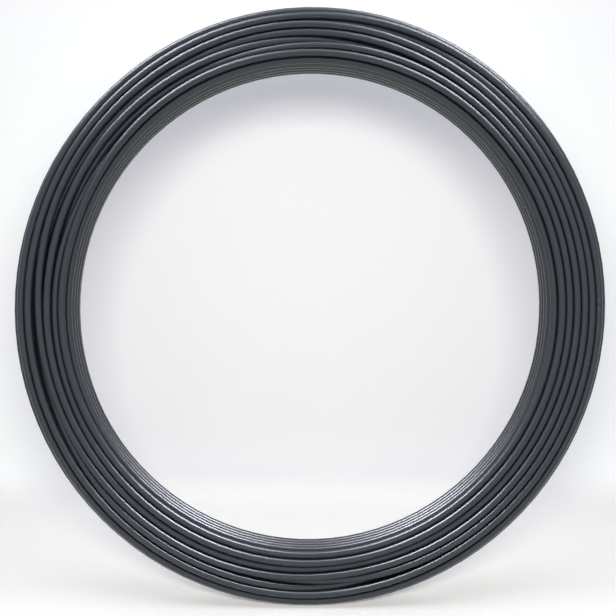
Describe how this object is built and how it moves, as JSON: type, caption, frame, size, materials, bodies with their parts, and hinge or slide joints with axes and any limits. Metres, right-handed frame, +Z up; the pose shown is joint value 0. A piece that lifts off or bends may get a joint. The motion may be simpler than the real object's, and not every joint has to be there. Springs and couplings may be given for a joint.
{
  "type": "coil of coated tension wire",
  "caption": "Round coil of plastic-coated steel tension wire, wound in many close turns around an open bore, for straining and tying wire fences.",
  "frame": {"origin": "floor point below the coil's centre: the middle of the bounding box's underside, where the rim stands on the floor", "axes": "+Z up, Y along the coil's axis with the end that faces the viewer towards -Y, X across the coil to the viewer's right"},
  "size_m": [0.308, 0.0246, 0.308],
  "materials": {
    "coating": "satin"
  },
  "bodies": {
    "root": {"wire_coil": "coating"}
  },
  "joints": []
}
